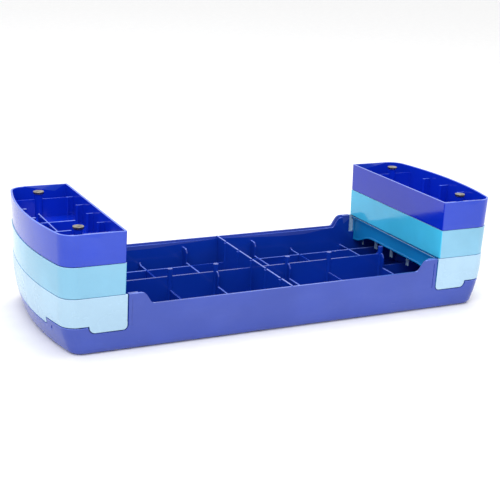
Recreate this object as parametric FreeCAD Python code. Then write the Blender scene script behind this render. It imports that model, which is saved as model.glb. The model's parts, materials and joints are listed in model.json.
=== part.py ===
"""Divided desk organiser: a long base tray with a stack of lift-off trays at each end.

Millimetres. The origin is at the centre of the base's underside, X runs along the
length, Y from front (-) to back (+), and Z up. Each stack is built for the +X end
and mirrored for the -X end.
"""
import FreeCAD, Part
import math
import os

Vec = FreeCAD.Vector

# ---------------------------------------------------------------- overall size
HALF_DEPTH = 100.0        # straight sides, from the centre plane
HALF_LENGTH = 262.9       # crown of each bowed end
END_RADIUS = 375.0        # bow of each end in plan
CORNER_RADIUS = 18.0      # plan corners between side and end
STACK_FACE_X = 185.5      # inner face of the end trays
INNER_CORNER_RADIUS = 1.8
HOLLOW_CORNER_RADIUS = 0.8

# ---------------------------------------------------------------- heights
RISER_TOP = 60.1
TRAY_PITCH = 32.5
STACK_GAP = 0.6           # shadow gap between stacked pieces
TRAY_HEIGHT = TRAY_PITCH - STACK_GAP
CLEARANCE = 0.3           # between surfaces that slide past each other
MIDDLE_BOTTOM = RISER_TOP + STACK_GAP
TOP_BOTTOM = MIDDLE_BOTTOM + TRAY_PITCH
LOW_WALL_TOP = 47.8       # long sides between the stacks
EAR_TOP = 60.5            # raised ends of the long sides, beside the risers
EAR_START_X = 155.0       # where a long side starts to rise, how steeply, and its two bends
EAR_SLOPE = 58.0
EAR_RADII = (6.0, 8.0)
LINER_SHIFT = 2.0         # the inner skin follows that outline, set back and lower
LINER_DROP = 2.3
EAR_STEP_X = 179.6        # fine step in the outer face beside each riser
EAR_STEP_RUN = 7.0
EAR_STEP_DEPTH = 0.7
EAR_STEP_Z = (26.0, 55.0)

# ---------------------------------------------------------------- walls
WALL = 2.2                # one skin
LINER = 2.4               # the base's second, inner skin
BASE_FLOOR = 2.6
WEB = 1.8                 # moulded dividers
BASE_LEVELS = (           # height, and how far the sides and the ends are drawn in there
    (0.0, 2.5, 12.5),
    (15.0, 1.7, 7.0),
    (30.0, 1.2, 3.3),
    (60.5, 0.3, 1.4),
)
BASE_FOOT_RADIUS = 7.0
TRAY_DRAFT = (0.45, 1.35)  # a tray's foot is this much smaller than its rim, at side and end
TOP_RIM_INSET = (0.0, 0.0)
FACE_DRAFT = 0.6          # its inner face leans by this much
MIDDLE_RIM_INSET = (0.2, 0.4)

# ---------------------------------------------------------------- shared pitch
RIB_PITCH = 35.6          # spacing of ribs, long dividers and posts across the depth
POST_X = 226.0            # magnet posts in the end trays
POST_Y = 2 * RIB_PITCH
POST_RADIUS = 4.4
MAGNET_RADIUS = 5.75
MAGNET_THICKNESS = 2.6
MAGNET_EDGE_RADIUS = 0.45
MAGNET_PROUD = 0.8        # above the rim of its tray
KEEPER_RADIUS = 5.75
KEEPER_THICKNESS = 1.6

# ---------------------------------------------------------------- trays
TRAY_FLOOR_RAISE = 1.7    # underside of a tray's floor above its foot
TRAY_FLOOR = 2.0
DIVIDER_DROP = 8.0        # dividers and ribs stop this far below the rim
RIB_REACH = 7.6           # ribs along the inner and outer walls
OUTER_RIB_END_X = 250.4
BEAD_RADIUS = 1.8         # round end of each rib
LOCATOR_DEPTH = 2.0       # ring under a tray that drops into the piece below
LOCATOR_THICKNESS = 1.6
LOCATOR_FIT = 0.4
LOCATOR_X = 192.8
LOCATOR_CORNER_RADIUS = 1.0

# ---------------------------------------------------------------- riser
RISER_FACE_X = 184.3      # ends of its side panels
BAR_X = 190.0             # crossbar, set back behind the panels' ends
SKIRT_TAB_Z = 23.3        # lowest edge of the skirt
SKIRT_HIGH_Z = 30.6       # lower edge round the corners
SIDE_TAB_END_X = 223.5
SIDE_TAB_RADIUS = 6.4
SIDE_TAB_INNER_RADIUS = 4.5
END_TAB_HALF_WIDTH = 56.0
END_TAB_RADIUS = 2.5
SEAM = 1.1                # shadow gap round the skirt
SKIRT_CORE = (3.6, 6.0)   # the skirt's inner face stays outside this inset, side and end
END_SLOT_Y = 66.0         # small slots in the base's end faces
END_SLOT_Z = 22.3
END_SLOT_WIDTH = 1.4
END_SLOT_HEIGHT = 5.2
END_SLOT_TILT = 25.0
END_SLOT_BACK = 14.0      # they stop this far in from the crown of the end
RISER_FLOOR_Z = 39.2      # underside of its floor, which stands on the base's inner skin
RISER_FLOOR = 2.2
LINER_TOP = RISER_FLOOR_Z - CLEARANCE
BAR_TOP = 59.4
BAR_THICKNESS = 2.4
BAR_END_BOTTOM = 28.0
ARCH_START = 48.0         # the bar's underside falls in an ogee between these
ARCH_END = 94.0
BAR_FRAME = 2.2           # raised border round the bar's face
BAR_PANEL_DEPTH = 0.9
LIP_Z = 55.9              # moulded lip along the bar
LIP_HEIGHT = 1.7
LIP_REACH = 2.0
FIN_X = 199.5
FIN_LENGTH = 2.0
FIN_THICKNESS = 1.1
FIN_HALF_GAP = 1.6
FIN_DEPTH = 13.5
END_FIN_Y = 84.0
END_FIN_DEPTH = 16.5

# ---------------------------------------------------------------- base dividers
CENTRE_DIVIDER_TOP = 48.4
SPINE_TOP = 38.5          # long divider on the centre line
LOW_WEB_TOP = 23.0
CROSS_X = (45.0, 100.0, 171.0)
PEG_RADIUS = 2.9
PEG_TOP = 47.3
SHOULDER_TOP = 39.5       # high ends of the cross dividers nearest the centre
SHOULDER_RUN_SIDE = 15.5
SHOULDER_RUN_SPINE = 9.0
SHOULDER_RADIUS = 6.0
SWOOP_TOP = 35.0          # curved ends of the next cross dividers
SWOOP_RUN = 9.0
NOTCH_HALF_WIDTH = 1.5
NOTCH_DEPTH = 1.7
KNUCKLE_RADIUS = 2.4

# ---------------------------------------------------------------- loose divider insert
INSERT_TOP = TOP_BOTTOM + TRAY_HEIGHT - 3.6
INSERT_PLATE = 1.4
INSERT_LONG_X = -245.9
INSERT_LONG_Y = (-67.9, -1.5)
INSERT_CROSS_X = (-253.5, -217.8)
INSERT_NEAR_Y = -69.0
INSERT_NEAR_X = (-251.8, -232.0)
INSERT_FLOOR_GAP = 0.3
INSERT_RIB_GAP = 0.5

TALL = 400.0              # longer than anything it cuts
OVERRUN = 5.0             # a cut runs this far past the surface
WEB_ROOT = 1.0            # dividers, ribs and fins start this deep in the floor they stand on
TOUCH = 0.01              # tolerance when an edge is picked out by its place


def arc(start, through, end):
    """An edge along the circle through three points."""
    return Part.Arc(start, through, end).toShape()


def line(start, end):
    return Part.LineSegment(start, end).toShape()


def corner_arc(centre_x, centre_y, radius, start_deg, end_deg, z):
    """An arc of a plan corner, counter-clockwise from start to end."""
    angles = [math.radians(a) for a in (start_deg, (start_deg + end_deg) / 2, end_deg)]
    points = [Vec(centre_x + radius * math.cos(a), centre_y + radius * math.sin(a), z) for a in angles]
    return arc(*points)


def bowed_end(side_inset, end_inset, radius_inset):
    """Half depth, corner centre, corner radius and bow of one end, drawn in by the insets."""
    half_depth = HALF_DEPTH - side_inset
    corner = CORNER_RADIUS - radius_inset
    bow = END_RADIUS - end_inset
    bow_centre = HALF_LENGTH - END_RADIUS
    centre_y = half_depth - corner
    centre_x = bow_centre + math.sqrt((bow - corner) ** 2 - centre_y ** 2)
    tilt = math.degrees(math.atan2(centre_y, centre_x - bow_centre))
    return half_depth, centre_x, centre_y, corner, bow_centre + bow, tilt


def end_edges(shape_values, z):
    """The edges of a +X end, from the front side round to the back side."""
    _, centre_x, centre_y, corner, crown, tilt = shape_values
    front = corner_arc(centre_x, -centre_y, corner, -90.0, -tilt, z)
    back = corner_arc(centre_x, centre_y, corner, tilt, 90.0, z)
    bow = arc(front.Vertexes[-1].Point, Vec(crown, 0, z), back.Vertexes[0].Point)
    return [front, bow, back]


def mirrored(shape):
    """The same piece at the -X end."""
    return shape.mirror(Vec(0, 0, 0), Vec(1, 0, 0))


def tray_wire(side_inset, end_inset, inner_x, z, corner):
    """Plan outline of an end piece: straight inner face, straight sides, bowed end."""
    values = bowed_end(side_inset, end_inset, side_inset)
    half, centre_x = values[0], values[1]
    front, bow, back = end_edges(values, z)
    corner_x = inner_x + corner
    edges = [
        line(Vec(corner_x, -half, z), Vec(centre_x, -half, z)), front, bow, back,
        line(Vec(centre_x, half, z), Vec(corner_x, half, z)),
        corner_arc(corner_x, half - corner, corner, 90.0, 180.0, z),
        line(Vec(inner_x, half - corner, z), Vec(inner_x, corner - half, z)),
        corner_arc(corner_x, corner - half, corner, 180.0, 270.0, z),
    ]
    return Part.Wire(edges)


def base_wire(side_inset, end_inset, z):
    """Plan outline of the +X half of the base."""
    values = bowed_end(side_inset, end_inset, side_inset)
    half, centre_x = values[0], values[1]
    front = line(Vec(0, -half, z), Vec(centre_x, -half, z))
    back = line(Vec(centre_x, half, z), Vec(0, half, z))
    return Part.Wire([front] + end_edges(values, z) + [back, line(Vec(0, half, z), Vec(0, -half, z))])


def loft(*wires, straight=True):
    """A solid with walls from each outline to the next, straight or in one smooth sweep."""
    return Part.makeLoft(list(wires), True, straight)


def both_ends(half):
    """A half of the base joined to its mirror image."""
    return half.fuse(mirrored(half)).removeSplitter()


def box(low, high):
    return Part.makeBox(high[0] - low[0], high[1] - low[1], high[2] - low[2], Vec(*low))


def cylinder(x, y, low, high, radius):
    return Part.makeCylinder(radius, high - low, Vec(x, y, low))


def prism_y(points, low_y, high_y):
    """A closed outline in the XZ plane, given as edges, run along Y."""
    face = Part.Face(Part.Wire(points))
    face.translate(Vec(0, low_y, 0))
    return face.extrude(Vec(0, high_y - low_y, 0))


def prism_x(points, low_x, high_x):
    """A closed outline in the YZ plane, given as edges, run along X."""
    face = Part.Face(Part.Wire(points))
    face.translate(Vec(low_x, 0, 0))
    return face.extrude(Vec(high_x - low_x, 0, 0))


def joined(pieces):
    """One clean solid from touching or crossing pieces."""
    return pieces[0].multiFuse(pieces[1:]).removeSplitter()


# ---------------------------------------------------------------- base tray
def base_outer(extra=0.0):
    """The base's outer form up to the ears, drawn in all round by extra."""
    outlines = [base_wire(side + extra, end + extra, z) for z, side, end in BASE_LEVELS]
    return both_ends(loft(*outlines, straight=False))


def base_core(gap):
    """Upright space that a riser's skirt clears as it lifts, grown by gap less than the skirt."""
    side, end = (inset + gap for inset in SKIRT_CORE)
    return both_ends(loft(base_wire(side, end, -1), base_wire(side, end, TALL)))


def rounded_foot(body):
    """The base's outer form with its bottom edge rounded."""
    bottom = [e for e in body.Edges if e.BoundBox.ZMax < TOUCH]
    return body.makeFillet(BASE_FOOT_RADIUS, bottom)


def side_profile(shift_x=0.0, drop=0.0):
    """Edges of the space above the long sides: low in the middle, curving up to the ears."""
    low, high = LOW_WALL_TOP - drop, EAR_TOP - drop
    start = EAR_START_X + shift_x
    slope = math.radians(EAR_SLOPE)
    lower, upper = EAR_RADII
    ramp_low = Vec(start + lower * math.sin(slope), 0, low + lower * (1 - math.cos(slope)))
    rise = high - low - (lower + upper) * (1 - math.cos(slope))
    ramp_high = ramp_low + Vec(rise / math.tan(slope), 0, rise)
    crest = ramp_high + Vec(upper * math.sin(slope), 0, upper * (1 - math.cos(slope)))
    half = slope / 2
    mid_low = Vec(start + lower * math.sin(half), 0, low + lower * (1 - math.cos(half)))
    mid_high = crest - Vec(upper * math.sin(half), 0, upper * (1 - math.cos(half)))
    right = [arc(Vec(start, 0, low), mid_low, ramp_low), line(ramp_low, ramp_high),
             arc(ramp_high, mid_high, crest)]
    left = [mirrored(e) for e in right]
    roof_right, roof_left = Vec(crest.x, 0, TALL), Vec(-crest.x, 0, TALL)
    joins = [line(Vec(-start, 0, low), Vec(start, 0, low)), line(crest, roof_right),
             line(roof_right, roof_left), line(roof_left, Vec(-crest.x, 0, crest.z))]
    return Part.sortEdges(right + left + joins)[0]


def skirt_outline_cut(gap):
    """Space of a +X riser's skirt down to its stepped lower edge, grown by gap."""
    high, low = SKIRT_HIGH_Z - gap, SKIRT_TAB_Z - gap
    start, end = RISER_FACE_X - gap, SIDE_TAB_END_X + gap
    inner, outer = SIDE_TAB_INNER_RADIUS + gap, SIDE_TAB_RADIUS + gap
    above = box((start, -TALL, high), (TALL, TALL, TALL))
    turn = math.sqrt(0.5)
    tab = prism_y([
        line(Vec(start, 0, high + 1), Vec(start, 0, low + inner)),
        arc(Vec(start, 0, low + inner),
            Vec(start + inner * (1 - turn), 0, low + inner * (1 - turn)), Vec(start + inner, 0, low)),
        line(Vec(start + inner, 0, low), Vec(end - outer, 0, low)),
        arc(Vec(end - outer, 0, low),
            Vec(end - outer * (1 - turn), 0, low + outer * (1 - turn)), Vec(end, 0, low + outer)),
        line(Vec(end, 0, low + outer), Vec(end, 0, high + 1)),
        line(Vec(end, 0, high + 1), Vec(start, 0, high + 1)),
    ], -TALL, TALL)
    half, corner = END_TAB_HALF_WIDTH + gap, END_TAB_RADIUS + gap
    end_tab = box((SIDE_TAB_END_X, -half, low), (TALL, half, high + 1))
    lower_edges = [e for e in end_tab.Edges
                   if abs(e.BoundBox.ZMax - low) < TOUCH and e.BoundBox.YLength < TOUCH]
    end_tab = end_tab.makeFillet(corner, lower_edges)
    return joined([above, tab, end_tab])


def riser_seat():
    """What the base gives up for one riser: the outer skin above the skirt's edge."""
    band = base_outer().cut(base_core(CLEARANCE)).common(skirt_outline_cut(SEAM))
    above_liner = box((RISER_FACE_X - SEAM, -TALL, LINER_TOP), (TALL, TALL, TALL))
    return joined([band, above_liner])


def web_along_x(y, low_x, high_x, top):
    return box((low_x, y - WEB / 2, WEB_ROOT), (high_x, y + WEB / 2, top))


def web_across(x, low_y, high_y, top):
    return box((x - WEB / 2, low_y, WEB_ROOT), (x + WEB / 2, high_y, top))


def shoulder(x, from_y, run):
    """High end of a cross divider: a level step with a rounded nose, reaching along run."""
    nose_y = from_y + run
    block = web_across(x, *sorted((from_y, nose_y)), SHOULDER_TOP)
    nose = [e for e in block.Edges if e.BoundBox.ZMin > SHOULDER_TOP - TOUCH
            and abs(e.BoundBox.YMin - nose_y) < TOUCH and abs(e.BoundBox.YMax - nose_y) < TOUCH]
    return block.makeFillet(SHOULDER_RADIUS, nose)


def swoop(x, side):
    """Curved end of a cross divider, falling from a long side to the low web."""
    wall_y = side * (HALF_DEPTH - WALL)
    tip_y = wall_y - side * SWOOP_RUN
    block = web_across(x, *sorted((wall_y, tip_y)), SWOOP_TOP)
    hollow = Part.makeCylinder(1.0, 2 * WEB, Vec(x - WEB, 0, 0), Vec(1, 0, 0))
    stretch = FreeCAD.Matrix()
    stretch.scale(Vec(1, SWOOP_RUN, SWOOP_TOP - LOW_WEB_TOP))
    hollow = hollow.transformGeometry(stretch)
    hollow.translate(Vec(0, tip_y, SWOOP_TOP))
    return block.cut(hollow)


def base_webs():
    """Every moulded divider and peg of the base, before trimming to its inside."""
    side_y = HALF_DEPTH - WALL
    pieces = [web_across(0, -side_y, side_y, CENTRE_DIVIDER_TOP)]
    last_x = CROSS_X[-1]
    pieces.append(web_along_x(0, -last_x, last_x, SPINE_TOP))
    for y in (-POST_Y, 0, POST_Y):
        pieces.append(web_along_x(y, -HALF_LENGTH, HALF_LENGTH, LOW_WEB_TOP))
    for x in [sign * x for sign in (-1, 1) for x in CROSS_X]:
        pieces.append(web_across(x, -side_y, side_y, LOW_WEB_TOP))
        pieces.append(cylinder(x, 0, WEB_ROOT, PEG_TOP, PEG_RADIUS))
    for sign in (-1, 1):
        for side in (-1, 1):
            near, next_x, last = (sign * x for x in CROSS_X)
            pieces.append(shoulder(near, side * side_y, -side * SHOULDER_RUN_SIDE))
            pieces.append(shoulder(near, 0, side * SHOULDER_RUN_SPINE))
            pieces.append(shoulder(last, 0, side * SHOULDER_RUN_SPINE))
            pieces.append(swoop(next_x, side))
    for step in range(-2, 3):
        pieces.append(cylinder(0, step * RIB_PITCH, WEB_ROOT, CENTRE_DIVIDER_TOP - NOTCH_DEPTH,
                               KNUCKLE_RADIUS))
    return pieces


def base_tray():
    """The long base: floor, double-skinned sides, seats for the risers, and dividers."""
    inset = WALL + LINER
    lowest = Part.makeBox(2 * TALL, 2 * TALL, TALL, Vec(-TALL, -TALL, BASE_FLOOR))
    cavity = base_outer(inset).common(lowest)
    outer = rounded_foot(base_outer())
    shell = outer.cut(cavity)
    webs = joined(base_webs()).common(outer)
    notches = [box((-WEB, step * RIB_PITCH - NOTCH_HALF_WIDTH, CENTRE_DIVIDER_TOP - NOTCH_DEPTH),
                   (WEB, step * RIB_PITCH + NOTCH_HALF_WIDTH, TALL)) for step in range(-2, 3)]
    above_sides = prism_y(side_profile(), -TALL, TALL)
    inner_core = base_outer(WALL)
    above_liner = prism_y(side_profile(LINER_SHIFT, LINER_DROP), -TALL, TALL).common(inner_core)
    seat = riser_seat()
    shell = shell.cut([above_sides, above_liner, seat, mirrored(seat)])
    body = joined([shell, webs.cut(notches)])
    return body.cut(ear_steps() + end_slots())


def end_slots():
    """Short slanted slots in the base's end faces, beside the end tabs of the risers."""
    slots = []
    for side in (-1, 1):
        slot = box((HALF_LENGTH - END_SLOT_BACK, -END_SLOT_WIDTH / 2, -END_SLOT_HEIGHT / 2),
                   (HALF_LENGTH + OVERRUN, END_SLOT_WIDTH / 2, END_SLOT_HEIGHT / 2))
        slot.rotate(Vec(0, 0, 0), Vec(1, 0, 0), -END_SLOT_TILT * side)
        slot.translate(Vec(0, side * END_SLOT_Y, END_SLOT_Z))
        slots += [slot, mirrored(slot)]
    return slots


def ear_steps():
    """Shallow ramps in the outer face that end in a fine step beside each riser panel."""
    low, high = EAR_STEP_Z
    (low_z, low_side, _), (high_z, high_side, _) = BASE_LEVELS[2:]
    lean = math.degrees(math.atan2(low_side - high_side, high_z - low_z))
    steps = []
    for side in (-1, 1):
        face = side * HALF_DEPTH
        inner = side * (HALF_DEPTH - low_side - EAR_STEP_DEPTH)
        corners = [Vec(EAR_STEP_X - EAR_STEP_RUN, face, low), Vec(EAR_STEP_X, face, low),
                   Vec(EAR_STEP_X, inner, low)]
        wedge = Part.Face(Part.makePolygon(corners + corners[:1])).extrude(Vec(0, 0, high - low))
        wedge.rotate(Vec(0, inner, low), Vec(1, 0, 0), side * -lean)
        steps += [wedge, mirrored(wedge)]
    return steps


# ---------------------------------------------------------------- riser
def riser():
    """Bridge over the base's end: panels, stepped skirt, crossbar, floor, fins and magnet posts."""
    below = box((0, -TALL, -1), (TALL, TALL, SKIRT_HIGH_Z))
    skin = base_outer().cut([base_outer(WALL), base_core(0.0).common(below)])
    floor = box((BAR_X + BAR_THICKNESS / 2, -HALF_DEPTH, RISER_FLOOR_Z),
                (TALL, HALF_DEPTH, RISER_FLOOR_Z + RISER_FLOOR)).common(base_outer(WALL / 2))
    post_top = RISER_TOP + MAGNET_PROUD - MAGNET_THICKNESS
    posts = [cylinder(POST_X, side * POST_Y, RISER_FLOOR_Z + RISER_FLOOR / 2, post_top, POST_RADIUS)
             for side in (-1, 1)]
    body = joined([skin.common(skirt_outline_cut(0.0)), floor, crossbar()] + posts + fins())
    return body.cut(box((0, -TALL, RISER_TOP), (TALL, TALL, TALL)))


def ogee(start_y, start_z, end_y, end_z):
    """Two equal arcs in the YZ plane, level at both ends and tangent where they meet."""
    run, rise = (end_y - start_y) / 2, (end_z - start_z) / 2
    radius = (run ** 2 + rise ** 2) / (2 * abs(rise))
    half = math.asin(abs(run) / radius) / 2
    reach = math.copysign(radius * math.sin(half), run)
    sag = math.copysign(radius * (1 - math.cos(half)), rise)
    start, end = Vec(0, start_y, start_z), Vec(0, end_y, end_z)
    middle = (start + end) / 2
    return [arc(start, start + Vec(0, reach, sag), middle), arc(middle, end - Vec(0, reach, sag), end)]


def bar_outline(inset):
    """Edges of the crossbar's outline, drawn in by inset: arched below, straight above."""
    half, top = HALF_DEPTH - inset, BAR_TOP - inset
    crown, foot = RISER_FLOOR_Z + inset, BAR_END_BOTTOM + inset
    corners = [Vec(0, ARCH_END, foot), Vec(0, half, foot), Vec(0, half, top),
               Vec(0, -half, top), Vec(0, -half, foot), Vec(0, -ARCH_END, foot)]
    arches = ogee(ARCH_START, crown, ARCH_END, foot) + ogee(-ARCH_END, foot, -ARCH_START, crown)
    straight = [line(start, end) for start, end in zip(corners, corners[1:])]
    return Part.sortEdges(arches + straight
                          + [line(Vec(0, -ARCH_START, crown), Vec(0, ARCH_START, crown))])[0]


def crossbar():
    """Framed bar across the riser's open side, arched below, with a lip along its top."""
    border = WALL + LINER + CLEARANCE + BAR_FRAME
    bar = prism_x(bar_outline(0.0), BAR_X, BAR_X + BAR_THICKNESS)
    panel = prism_x(bar_outline(BAR_FRAME), BAR_X - OVERRUN, BAR_X + BAR_PANEL_DEPTH)
    panel = panel.common(box((0, border - HALF_DEPTH, 0), (TALL, HALF_DEPTH - border, LIP_Z - BAR_FRAME)))
    lip = box((BAR_X - LIP_REACH, -HALF_DEPTH, LIP_Z),
              (BAR_X + BAR_THICKNESS / 2, HALF_DEPTH, LIP_Z + LIP_HEIGHT))
    above_liner = box((0, -TALL, LINER_TOP + CLEARANCE), (TALL, TALL, TALL))
    room = joined([base_outer(WALL / 2).common(above_liner), base_outer(WALL + LINER + CLEARANCE)])
    return joined([bar.cut(panel), lip]).common(room)


def fins():
    """Short blades under the riser's floor, in pairs, with a longer one near each side."""
    blades = []
    pairs = [step * RIB_PITCH / 2 for step in (-3, -1, 1, 3)]
    for y in [centre + sign * FIN_HALF_GAP for centre in pairs for sign in (-1, 1)]:
        blades.append((y, FIN_DEPTH))
    blades += [(sign * END_FIN_Y, END_FIN_DEPTH) for sign in (-1, 1)]
    return [box((FIN_X - FIN_LENGTH / 2, y - FIN_THICKNESS / 2, RISER_FLOOR_Z - depth),
                (FIN_X + FIN_LENGTH / 2, y + FIN_THICKNESS / 2, RISER_FLOOR_Z + WEB_ROOT))
            for y, depth in blades]


# ---------------------------------------------------------------- end trays
def tray_form(bottom, top, rim, extra=0.0, inner_x=STACK_FACE_X, corner=INNER_CORNER_RADIUS):
    """Outer form of a tray, a little smaller at its foot than at its rim, drawn in by extra."""
    side, end = (inset + extra for inset in rim)
    return loft(tray_wire(side + TRAY_DRAFT[0], end + TRAY_DRAFT[1], inner_x + FACE_DRAFT, bottom, corner),
                tray_wire(side, end, inner_x, top, corner))


def end_tray(foot, rim_inset):
    """One stackable tray with its foot at the given height and its rim drawn in a little."""
    rim = foot + TRAY_HEIGHT
    floor_low = foot + TRAY_FLOOR_RAISE
    floor_high = floor_low + TRAY_FLOOR
    inner_x = STACK_FACE_X + WALL
    outer = tray_form(foot, rim, rim_inset)
    hollow = tray_form(foot, rim, rim_inset, WALL, inner_x, HOLLOW_CORNER_RADIUS)
    above_floor = hollow.common(box((0, -TALL, floor_high), (TALL, TALL, TALL)))
    below_floor = hollow.common(box((0, -TALL, 0), (TALL, TALL, floor_low)))
    shell = outer.cut([above_floor, below_floor])
    pieces = [shell, locator_ring(foot, floor_low + TRAY_FLOOR / 4, rim_inset)]
    pieces += tray_webs(floor_high, rim - DIVIDER_DROP, outer)
    for side in (-1, 1):
        pieces.append(cylinder(POST_X, side * POST_Y, floor_low,
                               rim + MAGNET_PROUD - MAGNET_THICKNESS, POST_RADIUS))
    body = joined(pieces)
    pockets = [keeper_disc(foot, side) for side in (-1, 1)]
    return body.cut(pockets)


def locator_ring(foot, top, rim_inset):
    """Ring under the floor that drops inside the rim of the piece below."""
    side, end = (rim + draft + WALL + LOCATOR_FIT for rim, draft in zip(rim_inset, TRAY_DRAFT))
    low = foot - LOCATOR_DEPTH
    wall = LOCATOR_THICKNESS
    ring = loft(*[tray_wire(side, end, LOCATOR_X, z, LOCATOR_CORNER_RADIUS) for z in (low, top)])
    hole = loft(*[tray_wire(side + wall, end + wall, LOCATOR_X + wall, z, LOCATOR_CORNER_RADIUS)
                  for z in (low - OVERRUN, top + OVERRUN)])
    return ring.cut(hole)


def tray_webs(floor, top, outer):
    """Cross dividers in line with the posts, and ribs at each pitch along both long walls."""
    low = floor - WEB_ROOT
    inner_x = STACK_FACE_X + WALL / 2 + FACE_DRAFT
    bead_x = STACK_FACE_X + WALL + RIB_REACH - BEAD_RADIUS
    webs = []
    for step in range(-2, 3):
        y = step * RIB_PITCH
        webs.append(box((inner_x, y - WEB / 2, low), (bead_x, y + WEB / 2, top)))
        webs.append(cylinder(bead_x, y, low, top, BEAD_RADIUS))
        if abs(step) == 2:
            across = box((inner_x, y - WEB / 2, low), (HALF_LENGTH, y + WEB / 2, top))
        else:
            across = box((OUTER_RIB_END_X, y - WEB / 2, low), (HALF_LENGTH, y + WEB / 2, top))
            webs.append(cylinder(OUTER_RIB_END_X, y, low, top, BEAD_RADIUS))
        webs.append(across.common(outer))
    return webs


def magnet_disc(rim, side):
    """Plated disc magnet on a post, standing just proud of its tray's rim."""
    top = rim + MAGNET_PROUD
    disc = cylinder(POST_X, side * POST_Y, top - MAGNET_THICKNESS, top, MAGNET_RADIUS)
    return disc.makeFillet(MAGNET_EDGE_RADIUS, [e for e in disc.Edges if e.BoundBox.ZLength < TOUCH])


def keeper_disc(foot, side):
    """Steel disc let into a tray's floor, over the magnet of the piece below."""
    low = foot - STACK_GAP + MAGNET_PROUD + CLEARANCE
    return cylinder(POST_X, side * POST_Y, low, low + KEEPER_THICKNESS, KEEPER_RADIUS)


def pair(maker, height):
    """The front and back discs of one tray, as two separate solids."""
    return Part.makeCompound([maker(height, side) for side in (-1, 1)])


# ---------------------------------------------------------------- loose divider insert
def divider_insert():
    """Three plates that slot together and drop into the left top tray."""
    floor = TOP_BOTTOM + TRAY_FLOOR_RAISE + TRAY_FLOOR + INSERT_FLOOR_GAP
    over_rib = TOP_BOTTOM + TRAY_HEIGHT - DIVIDER_DROP + INSERT_RIB_GAP
    half = INSERT_PLATE / 2
    middle = (floor + INSERT_TOP) / 2
    cross_y = -RIB_PITCH
    long_plate = box((INSERT_LONG_X - half, INSERT_LONG_Y[0], floor),
                     (INSERT_LONG_X + half, INSERT_LONG_Y[1], INSERT_TOP))
    long_slot = box((INSERT_LONG_X - OVERRUN, cross_y - half, middle),
                    (INSERT_LONG_X + OVERRUN, cross_y + half, TALL))
    cross_plate = box((INSERT_CROSS_X[0], cross_y - half, floor),
                      (INSERT_CROSS_X[1], cross_y + half, INSERT_TOP))
    rib_room = box((INSERT_CROSS_X[0] - OVERRUN, cross_y - OVERRUN, floor - OVERRUN),
                   (-OUTER_RIB_END_X + BEAD_RADIUS + INSERT_RIB_GAP, cross_y + OVERRUN, over_rib))
    cross_slot = box((INSERT_LONG_X - half, cross_y - OVERRUN, floor - OVERRUN),
                     (INSERT_LONG_X + half, cross_y + OVERRUN, middle))
    near_plate = box((INSERT_NEAR_X[0], INSERT_NEAR_Y - half, floor),
                     (INSERT_NEAR_X[1], INSERT_LONG_Y[0], INSERT_TOP))
    return {
        "insert_long_plate": long_plate.cut(long_slot),
        "insert_cross_plate": cross_plate.cut([rib_room, cross_slot]),
        "insert_end_plate": near_plate,
    }


def build():
    """Every piece of the organiser by name."""
    nodes = {"base_tray": base_tray()}
    middle_right = end_tray(MIDDLE_BOTTOM, MIDDLE_RIM_INSET)
    top_right = end_tray(TOP_BOTTOM, TOP_RIM_INSET)
    middle_rim, top_rim = MIDDLE_BOTTOM + TRAY_HEIGHT, TOP_BOTTOM + TRAY_HEIGHT
    right = {
        "riser": riser(),
        "riser_magnets": pair(magnet_disc, RISER_TOP),
        "middle_tray": middle_right,
        "middle_tray_magnets": pair(magnet_disc, middle_rim),
        "middle_tray_keepers": pair(keeper_disc, MIDDLE_BOTTOM),
        "top_tray": top_right,
        "top_tray_magnets": pair(magnet_disc, top_rim),
        "top_tray_keepers": pair(keeper_disc, TOP_BOTTOM),
    }
    for name, shape in right.items():
        nodes["right_" + name] = shape
        nodes["left_" + name] = mirrored(shape)
    nodes.update(divider_insert())
    return nodes


os.makedirs("parts", exist_ok=True)
for node_name, node_shape in build().items():
    bad = [s for s in node_shape.Solids if not s.isValid()]
    print(node_name, len(node_shape.Solids), "solids", round(node_shape.Volume), "mm3",
          "INVALID" if bad else "")
    node_shape.exportStep("parts/" + node_name + ".step")
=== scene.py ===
"""Looks for the divided desk organiser: moulded pieces with rounded edges, glossy plastic, plated discs."""
import json
import math

import bmesh
import bpy
from mathutils import Matrix, Vector
from mathutils.bvhtree import BVHTree


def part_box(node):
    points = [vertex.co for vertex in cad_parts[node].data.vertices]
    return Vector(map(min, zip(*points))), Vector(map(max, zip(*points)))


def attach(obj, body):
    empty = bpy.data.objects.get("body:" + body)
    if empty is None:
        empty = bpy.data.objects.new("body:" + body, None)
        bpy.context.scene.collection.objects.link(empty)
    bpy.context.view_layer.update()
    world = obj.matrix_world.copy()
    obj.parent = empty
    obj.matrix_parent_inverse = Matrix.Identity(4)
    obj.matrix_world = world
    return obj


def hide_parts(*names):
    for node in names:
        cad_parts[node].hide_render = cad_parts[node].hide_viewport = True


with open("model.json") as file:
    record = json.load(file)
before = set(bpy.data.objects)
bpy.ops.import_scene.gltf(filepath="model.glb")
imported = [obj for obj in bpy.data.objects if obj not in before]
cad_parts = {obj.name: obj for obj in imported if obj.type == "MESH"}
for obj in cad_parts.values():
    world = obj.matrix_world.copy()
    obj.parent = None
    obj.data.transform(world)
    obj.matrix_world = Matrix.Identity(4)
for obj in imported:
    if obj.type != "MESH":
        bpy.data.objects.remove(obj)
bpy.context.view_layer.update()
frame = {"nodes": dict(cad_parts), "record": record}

SCENE = bpy.context.scene
SCENE.view_settings.view_transform = "Standard"
MM = 0.001


# ---------------------------------------------------------------- camera
LENS, SENSOR = 80.42, 36.0
NEAR, FAR = 0.05, 60.0
PLACE = Vector((-0.54024, -1.07846, 0.42855))
YAW, PITCH, ROLL = math.radians(26.47), math.radians(17.04), math.radians(2.57)


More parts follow.
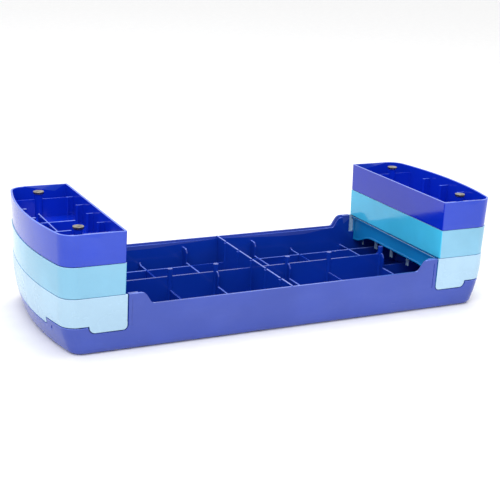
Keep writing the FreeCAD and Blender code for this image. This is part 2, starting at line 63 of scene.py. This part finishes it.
def camera_matrix(place, yaw, pitch, roll):
    """A camera that looks along +Y, turned right by yaw, tipped down by pitch and rolled."""
    sin_y, cos_y = math.sin(yaw), math.cos(yaw)
    sin_p, cos_p = math.sin(pitch), math.cos(pitch)
    forward = Vector((sin_y * cos_p, cos_y * cos_p, -sin_p))
    level = Vector((cos_y, -sin_y, 0.0))
    upright = level.cross(forward)
    right = math.cos(roll) * level + math.sin(roll) * upright
    up = math.cos(roll) * upright - math.sin(roll) * level
    turn = Matrix((right, up, -forward)).transposed()
    return Matrix.Translation(place) @ turn.to_4x4()


camera = bpy.data.objects.new("camera", bpy.data.cameras.new("camera"))
SCENE.collection.objects.link(camera)
camera.data.lens, camera.data.sensor_width = LENS, SENSOR
camera.data.clip_start, camera.data.clip_end = NEAR, FAR
camera.matrix_world = camera_matrix(PLACE, YAW, PITCH, ROLL)
SCENE.camera = camera


# ---------------------------------------------------------------- materials
# Noise scales, in waves per metre, from broad clouds to fine grain.
FLOW_SCALE, CLOUD_SCALE, SMEAR_SCALE, SCUFF_SCALE, RUB_SCALE = 9.0, 14.0, 22.0, 60.0, 160.0
PEEL_SCALE, GRAIN_SCALE = 420.0, 2600.0
STAIN_SCALE, SCRATCH_SCALE, TURNING_SCALE = 220.0, 300.0, 900.0
PAPER_SCALE = 40.0
PLASTIC_IOR = 1.5
RIM_HIGHLIGHT_GAIN = (0.14, 0.2, 0.55)   # how much red, green and blue the painted rim highlight adds towards white


class Nodes:
    """A material's node tree, with short calls for what is added to it."""

    def __init__(self, name):
        self.material = bpy.data.materials.new(name)
        self.material.use_nodes = True
        self.tree = self.material.node_tree
        self.shader = self.tree.nodes["Principled BSDF"]
        self.place = self.add("ShaderNodeTexCoord").outputs["Object"]

    def add(self, kind, **settings):
        node = self.tree.nodes.new(kind)
        for key, value in settings.items():
            setattr(node, key, value)
        return node

    def link(self, source, target):
        self.tree.links.new(source, target)

    def noise(self, scale, detail=3.0, stretch=(1, 1, 1), rough=0.5):
        mapping = self.add("ShaderNodeMapping")
        mapping.inputs["Scale"].default_value = stretch
        self.link(self.place, mapping.inputs["Vector"])
        node = self.add("ShaderNodeTexNoise")
        node.inputs["Scale"].default_value = scale
        node.inputs["Detail"].default_value = detail
        node.inputs["Roughness"].default_value = rough
        self.link(mapping.outputs["Vector"], node.inputs["Vector"])
        return node.outputs["Fac"]

    def ramp(self, value, low, high, to_low=0.0, to_high=1.0):
        node = self.add("ShaderNodeMapRange")
        node.interpolation_type = "SMOOTHSTEP"
        for key, number in zip(("From Min", "From Max", "To Min", "To Max"), (low, high, to_low, to_high)):
            node.inputs[key].default_value = number
        self.link(value, node.inputs["Value"])
        return node.outputs["Result"]

    def total(self, first, second):
        node = self.add("ShaderNodeMath", operation="ADD")
        self.link(first, node.inputs[0])
        self.link(second, node.inputs[1])
        return node.outputs["Value"]

    def mix(self, amount, first, second):
        node = self.add("ShaderNodeMix", data_type="RGBA")
        self.link(amount, node.inputs["Factor"])
        for key, value in (("A", first), ("B", second)):
            socket = next(s for s in node.inputs if s.name == key and s.type == "RGBA")
            if isinstance(value, tuple):
                socket.default_value = (*value, 1.0)
            else:
                self.link(value, socket)
        return next(s for s in node.outputs if s.type == "RGBA")

    def bump(self, height, strength, distance, after=None):
        node = self.add("ShaderNodeBump")
        node.inputs["Strength"].default_value = strength
        node.inputs["Distance"].default_value = distance
        self.link(height, node.inputs["Height"])
        if after is not None:
            self.link(after, node.inputs["Normal"])
        return node.outputs["Normal"]


def channel(value):
    """One sRGB channel, 0 to 255, as a linear value by the standard's curve."""
    level = value / 255
    return ((level + 0.055) / 1.055) ** 2.4 if value > 10 else level / 12.92


def linear(red, green, blue):
    return channel(red), channel(green), channel(blue)


def lighter(colour, amount):
    """The colour moved this far towards white."""
    return tuple(c + amount * (255 - c) for c in colour)


def rim_highlight_colour(colour):
    """The outer colour lightened, most in blue, into a painted rim highlight."""
    return tuple(c + amount * (255 - c) for c, amount in zip(colour, RIM_HIGHLIGHT_GAIN))


def moulded_plastic(name, colour, gloss, flow_and_sheen=0.1, rubbed=0.0):
    """Injection-moulded plastic: flow clouds, orange peel, fine scuffs, smears and rubbed patches."""
    n = Nodes(name)
    clouds = n.ramp(n.noise(CLOUD_SCALE, 4.0), 0.35, 0.68)
    body = n.mix(clouds, linear(*(0.94 * c for c in colour)), linear(*colour))
    # Flow streaks lightened by this amount: real flow marks, stronger on the lit copy as part of its
    # painted sheen.
    flow = n.ramp(n.noise(FLOW_SCALE, 5.0, (1.0, 1.0, 2.5), 0.6), 0.45, 0.8, 0.0, flow_and_sheen)
    body = n.mix(flow, body, linear(*lighter(colour, 0.3)))
    # Lighter rubbed patches, used only on the rim copy under its painted highlight.
    patches = n.ramp(n.noise(RUB_SCALE, 5.0), 0.42, 0.7, rubbed / 3, rubbed)
    body = n.mix(patches, body, linear(*lighter(colour, 0.5)))
    n.link(body, n.shader.inputs["Base Color"])
    scuffs = n.ramp(n.noise(SCUFF_SCALE, 6.0, (1.0, 1.0, 3.0), 0.7), 0.5, 0.8, 0.0, 0.08)
    smears = n.ramp(n.noise(SMEAR_SCALE, 3.0), 0.35, 0.7, gloss - 0.03, gloss + 0.05)
    n.link(n.total(scuffs, smears), n.shader.inputs["Roughness"])
    peel = n.bump(n.noise(PEEL_SCALE, 2.0), 0.05, 0.0004)
    n.link(n.bump(n.noise(GRAIN_SCALE, 2.0), 0.04, 0.00008, peel), n.shader.inputs["Normal"])
    n.shader.inputs["IOR"].default_value = PLASTIC_IOR
    return n.material


def plated_metal(name, colour, stain, gloss):
    """Plated disc: turning marks, stains and small scratches from being snapped together."""
    n = Nodes(name)
    stains = n.ramp(n.noise(STAIN_SCALE, 5.0), 0.42, 0.7)
    n.link(n.mix(stains, colour, stain), n.shader.inputs["Base Color"])
    scratches = n.ramp(n.noise(SCRATCH_SCALE, 6.0, (1.0, 9.0, 1.0), 0.7), 0.5, 0.75, 0.0, 0.18)
    dulled = n.ramp(stains, 0.0, 1.0, gloss, gloss + 0.12)
    n.link(n.total(scratches, dulled), n.shader.inputs["Roughness"])
    n.link(n.bump(n.noise(TURNING_SCALE, 4.0, (1.0, 6.0, 1.0)), 0.1, 0.0001), n.shader.inputs["Normal"])
    n.shader.inputs["Metallic"].default_value = 1.0
    return n.material


def three_finishes(name, sheen_lit, shaded, gloss):
    """Lit and shaded copies of one moulding's plastic: a paler copy with painted sheen for faces that look
    out, a deeper copy with painted shade for faces that look into the object, and a copy with painted rim
    highlight and rubbed patches for its rims.
    """
    return (moulded_plastic(name + "_outer", sheen_lit, gloss + 0.06),
            moulded_plastic(name + "_inner", shaded, gloss, 0.04),
            moulded_plastic(name + "_edge", rim_highlight_colour(sheen_lit), gloss + 0.04, 0.1, 0.25))


# Material slots: lit copy with painted sheen, shaded copy with painted shade, rim copy with painted
# highlight.
LIT_COPY, SHADE_COPY, HIGHLIGHT_COPY = range(3)
# First colour: the plastic paled by a painted sheen; second: the same plastic deeper and more saturated as
# painted shade.
ROYAL = three_finishes("royal_blue", (32, 66, 196), (8, 44, 194), 0.09)
DEEP = three_finishes("deep_blue", (55, 77, 173), (12, 54, 166), 0.13)
AQUA = three_finishes("light_blue", (131, 190, 220), (72, 202, 242), 0.09)
PALE = three_finishes("pale_blue", (171, 205, 228), (22, 134, 200), 0.2)
MAGNET = plated_metal("nickel_disc", linear(150, 142, 130), linear(96, 90, 84), 0.24)
KEEPER = plated_metal("steel_disc", linear(170, 172, 176), linear(112, 108, 104), 0.34)

FINISH = {"base_plastic": DEEP, "riser_plastic": PALE, "middle_tray_plastic": AQUA,
          "top_tray_plastic": ROYAL, "insert_plastic": ROYAL, "magnet": (MAGNET,), "keeper": (KEEPER,)}


# ---------------------------------------------------------------- pieces
RAY_START = 0.2 * MM
REACH = 0.7                # a ray that meets nothing within this has left the object
RISING = 0.27              # slope of the rays that ask whether a level face looks inwards
AROUND = ((1, 0), (-1, 0), (0, 1), (0, -1))
LEVEL = 0.5                # a level face's normal rises or falls by at least this
ALONG = 0.7                # a face looks along an axis if its normal has more than this there
UPWARDS = 0.9
SHARP = math.radians(32)   # outward edges that turn by more than this are rounded over
CORNER = math.radians(60)
EDGE_WIDTH = 0.4 * MM
WELD = 0.002 * MM          # points closer than this are one
SHORT = 0.8 * MM           # an edge that ends at a facet this short would fold over itself
NARROW = 1.3 * MM          # half the width of the top of a wall or web, and a little more
PANEL_END = 5.4 * MM       # a riser's panel ends keep the lit copy with painted sheen inside too, in front of its crossbar
FIN_DEPTH = 15.0 * MM      # its fins are this far in from the panels' ends
FIN_REACH = 1.5 * MM
FIN_HEIGHT = 39.0 * MM     # and hang below this
RISER_RIM = 50.0 * MM      # a riser's edges below this get no painted rim highlight


def whole_model():
    """Every CAD piece in one tree for rays."""
    points, faces = [], []
    for node in frame["nodes"].values():
        first = len(points)
        points += [vertex.co.copy() for vertex in node.data.vertices]
        faces += [[first + index for index in face.vertices] for face in node.data.polygons]
    return BVHTree.FromPolygons(points, faces)


def faces_inwards(model, centre, normal):
    """Whether a face looks into the object: across a hollow, under a tray or towards the middle."""
    if abs(normal.z) < LEVEL:
        towards_middle = normal.x * centre.x < 0 and abs(normal.x) > ALONG
        rays = [normal]
    else:
        towards_middle = False
        rise = math.copysign(RISING, normal.z)
        rays = [Vector((x, y, rise)).normalized() for x, y in AROUND]
    start = centre + RAY_START * normal
    met = sum(model.ray_cast(start, ray, REACH)[0] is not None for ray in rays)
    return towards_middle or met > len(rays) / 2


def wear(piece, finishes):
    """Give a piece these materials in place of its own."""
    piece.data.materials.clear()
    for material in finishes:
        piece.data.materials.append(material)


def keeps_lit_copy(depth, centre, normal):
    """Whether a riser's inward face, this far in, is a panel's end or a fin, which keeps the lit copy with
    painted sheen instead of painted shade.
    """
    panel_end = depth < PANEL_END and abs(normal.y) > ALONG
    fin = abs(depth - FIN_DEPTH) < FIN_REACH and centre.z < FIN_HEIGHT
    return panel_end or fin


def turn(edge):
    """How far the surface turns at an edge."""
    return edge.calc_face_angle() if len(edge.link_faces) == 2 else 0.0


def can_round(edge):
    """Whether an edge can be rounded over: it stands out and no short facet meets either end."""
    meeting = [other for vertex in edge.verts for other in vertex.link_edges]
    return edge.is_convex and all(other.calc_length() > SHORT for other in meeting)


def is_rim(edge, lowest):
    """Whether an edge is an upper, outward corner, which gets the painted rim highlight with rubbed
    patches.
    """
    if turn(edge) < CORNER or not edge.is_convex or edge.verts[0].co.z < lowest:
        return False
    return max(face.normal.z for face in edge.link_faces) > UPWARDS


def is_lip(face, lowest):
    """Whether a face is part of the narrow top of a wall, web or post."""
    if face.normal.z < UPWARDS or not any(is_rim(edge, lowest) for edge in face.edges):
        return False
    return face.calc_area() < NARROW * max(edge.calc_length() for edge in face.edges)


def round_over(piece, marks, finish=-1):
    """Round over the edges marked by a weight of this name; -1 keeps the finish of the faces around."""
    bevel = piece.modifiers.new(marks, "BEVEL")
    bevel.limit_method, bevel.edge_weight, bevel.material = "WEIGHT", marks, finish
    bevel.width, bevel.segments, bevel.use_clamp_overlap = EDGE_WIDTH, 2, False


def softened(node, model, finishes):
    """A copy of a moulded part with its sharp edges rounded over, standing for the CAD part."""
    mesh = frame["nodes"][node].data.copy()
    piece = bpy.data.objects.new(node + "_moulded", mesh)
    SCENE.collection.objects.link(piece)
    wear(piece, finishes)
    form = bmesh.new()
    form.from_mesh(mesh)
    bmesh.ops.remove_doubles(form, verts=form.verts, dist=WELD)
    inner_end = min(abs(corner[0]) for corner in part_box(node))
    lowest = RISER_RIM if node.endswith("_riser") else 0.0
    for face in form.faces:
        centre = face.calc_center_median_weighted()
        inwards = faces_inwards(model, centre, face.normal)
        if node.endswith("_riser") and keeps_lit_copy(abs(centre.x) - inner_end, centre, face.normal):
            inwards = False
        face.smooth = True
        # Narrow rim tops take the painted highlight, faces that look into the object the painted shade, the
        # rest the painted sheen.
        face.material_index = HIGHLIGHT_COPY if is_lip(face, lowest) else SHADE_COPY if inwards else LIT_COPY
    rubbed, rounded = (form.edges.layers.float.new(marks) for marks in ("rubbed", "rounded"))
    for edge in form.edges:
        sharp, rim, soft = turn(edge) > SHARP, is_rim(edge, lowest), can_round(edge)
        edge[rubbed], edge[rounded] = float(rim and soft), float(sharp and soft and not rim)
        edge.smooth = soft or not sharp
    form.to_mesh(mesh)
    form.free()
    if "custom_normal" in mesh.attributes:
        mesh.attributes.remove(mesh.attributes["custom_normal"])
    # Rounded rims take the rim copy: a painted highlight with rubbed patches.
    round_over(piece, "rubbed", HIGHLIGHT_COPY)
    round_over(piece, "rounded")
    shading = piece.modifiers.new("flat_faces", "WEIGHTED_NORMAL")
    shading.mode, shading.weight, shading.keep_sharp = "FACE_AREA", 100, True
    return piece


MODEL = whole_model()
BODIES = frame["record"]["behaviour"]["bodies"]
BODY_OF = {node: body for body, nodes in BODIES.items() for node in nodes}
for part in frame["record"]["subparts"]:
    node, slot = part["node"], part["material_slot"]
    if slot in ("magnet", "keeper"):
        wear(frame["nodes"][node], FINISH[slot])
    else:
        piece = softened(node, MODEL, FINISH[slot])
        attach(piece, BODY_OF[node])
        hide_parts(node)


# ---------------------------------------------------------------- floor and light
FLOOR_RADIUS = 9.0
FLOOR_DROP = 0.1 * MM
KEY_PLACE, KEY_SIZE, KEY_POWER = (-0.9, -1.3, 1.9), 1.4, 22.0
TOP_PLACE, TOP_SIZE, TOP_POWER = (0.3, 0.4, 2.2), 1.8, 16.0
WHITE = (1.0, 1.0, 1.0, 1.0)


def floor_material():
    """Pale matt paper with a faint grain."""
    n = Nodes("pale_paper")
    grain = n.ramp(n.noise(PAPER_SCALE, 5.0), 0.3, 0.7)
    n.link(n.mix(grain, (0.90, 0.90, 0.905), (0.93, 0.93, 0.93)), n.shader.inputs["Base Color"])
    n.shader.inputs["Roughness"].default_value = 0.6
    return n.material


def soft_light(name, place, size, power):
    """A square lamp that points at the middle of the object's foot."""
    lamp = bpy.data.objects.new(name, bpy.data.lights.new(name, "AREA"))
    lamp.data.shape, lamp.data.size, lamp.data.energy = "SQUARE", size, power
    lamp.location = place
    lamp.rotation_euler = (-Vector(place)).to_track_quat("-Z", "Y").to_euler()
    SCENE.collection.objects.link(lamp)


bpy.ops.mesh.primitive_circle_add(vertices=96, radius=FLOOR_RADIUS, fill_type="NGON",
                                  location=(0, 0, -FLOOR_DROP))
floor = bpy.context.object
floor.name = "floor"
floor.data.materials.append(floor_material())

world = bpy.data.worlds.new("studio")
world.use_nodes = True
world.node_tree.nodes["Background"].inputs["Color"].default_value = WHITE
world.node_tree.nodes["Background"].inputs["Strength"].default_value = 1.0
SCENE.world = world
soft_light("key", KEY_PLACE, KEY_SIZE, KEY_POWER)
soft_light("top", TOP_PLACE, TOP_SIZE, TOP_POWER)
